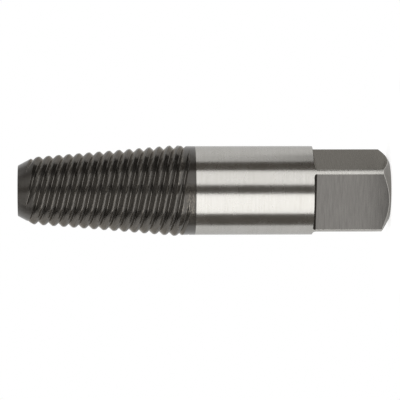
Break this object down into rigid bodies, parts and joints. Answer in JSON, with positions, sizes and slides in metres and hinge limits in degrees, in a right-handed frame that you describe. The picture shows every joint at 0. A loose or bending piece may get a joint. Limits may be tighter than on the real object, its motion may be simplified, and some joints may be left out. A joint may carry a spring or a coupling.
{
  "type": "screw extractor",
  "caption": "Screw extractor: a tapered left-hand biting thread, a ground round shank and a milled driving square.",
  "frame": {"origin": "centre of the flat end face of the driving square, on which the tool stands", "axes": "+Z along the tool's axis, from the driving square to the small end; the flats of the square face +X, -X, +Y and -Y"},
  "size_m": [0.0255, 0.0255, 0.1045],
  "materials": {
    "tool_steel": "black oxide on the thread, ground bright shank, milled square"
  },
  "bodies": {
    "root": {"screw_extractor": "tool_steel"}
  },
  "joints": []
}
